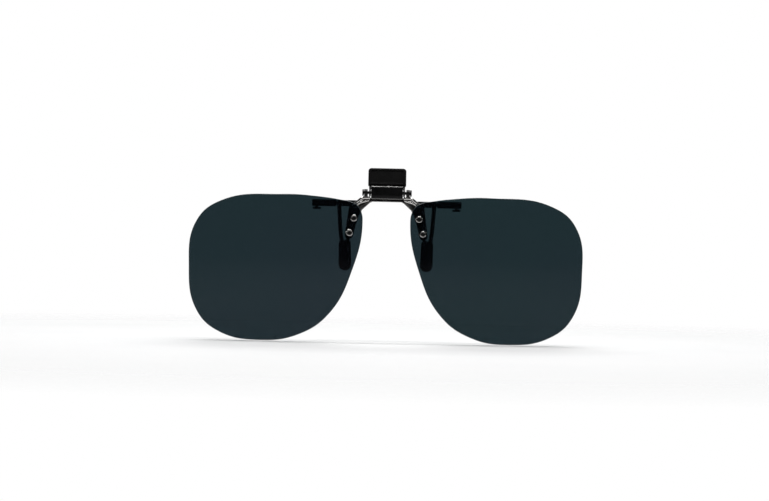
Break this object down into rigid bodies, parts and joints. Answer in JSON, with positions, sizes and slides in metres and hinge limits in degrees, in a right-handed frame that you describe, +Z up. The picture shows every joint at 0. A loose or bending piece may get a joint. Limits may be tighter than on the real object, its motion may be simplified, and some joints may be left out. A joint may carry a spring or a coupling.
{
  "type": "clip on flip lenses",
  "caption": "Two tinted rimless lenses riveted to a bridge that flips up on a sprung clip, which grips the top of a pair of spectacles.",
  "frame": {"origin": "middle of the hinge pin's axis, above the bridge of the spectacles", "axes": "+Z up, -Y out of the front of the lenses, +X to the right of someone who faces the wearer"},
  "size_m": [0.135, 0.0123, 0.0595],
  "materials": {
    "lens_tint": "polished, dark grey tint",
    "gunmetal": "polished black nickel",
    "polished_metal": "polished",
    "black_metal": "satin black",
    "spring_steel": "drawn wire",
    "soft_rubber": "matte",
    "thumb_plastic": "matte, fine grain",
    "nylon": "translucent white"
  },
  "bodies": {
    "clip_base": {"spring_housing": "black_metal", "front_jaw": "black_metal", "hinge_pin": "polished_metal", "pin_cap": "polished_metal", "torsion_spring": "spring_steel", "left_friction_washer": "black_metal", "left_front_leg": "black_metal", "left_front_tip": "soft_rubber", "left_wing_sleeve": "soft_rubber", "right_friction_washer": "black_metal", "right_front_leg": "black_metal", "right_front_tip": "soft_rubber", "right_wing_sleeve": "soft_rubber"},
    "rear_jaw": {"thumb_lever": "black_metal", "thumb_pad": "thumb_plastic", "left_rear_prong": "black_metal", "left_rear_tip": "soft_rubber", "right_rear_prong": "black_metal", "right_rear_tip": "soft_rubber"},
    "lens_frame": {"lens_bridge": "gunmetal", "left_lens": "lens_tint", "right_lens": "lens_tint", "rivet_left_upper": "polished_metal", "rivet_left_lower": "polished_metal", "rivet_right_upper": "polished_metal", "rivet_right_lower": "polished_metal", "washer_left_upper": "nylon", "washer_left_lower": "nylon", "washer_right_upper": "nylon", "washer_right_lower": "nylon", "burr_left_upper": "polished_metal", "burr_left_lower": "polished_metal", "burr_right_upper": "polished_metal", "burr_right_lower": "polished_metal"}
  },
  "joints": [
    {"name": "jaw_open", "type": "hinge", "parent": "clip_base", "child": "rear_jaw", "pos_m": [0, 0, 0], "axis": [1, 0, 0], "range_deg": [0, 25], "stiffness_Nm_per_rad": 0.05, "springref_deg": -28.65, "deforming": ["torsion_spring"]},
    {"name": "lens_flip", "type": "hinge", "parent": "clip_base", "child": "lens_frame", "pos_m": [0, 0, 0], "axis": [-1, 0, 0], "range_deg": [0, 90]}
  ]
}
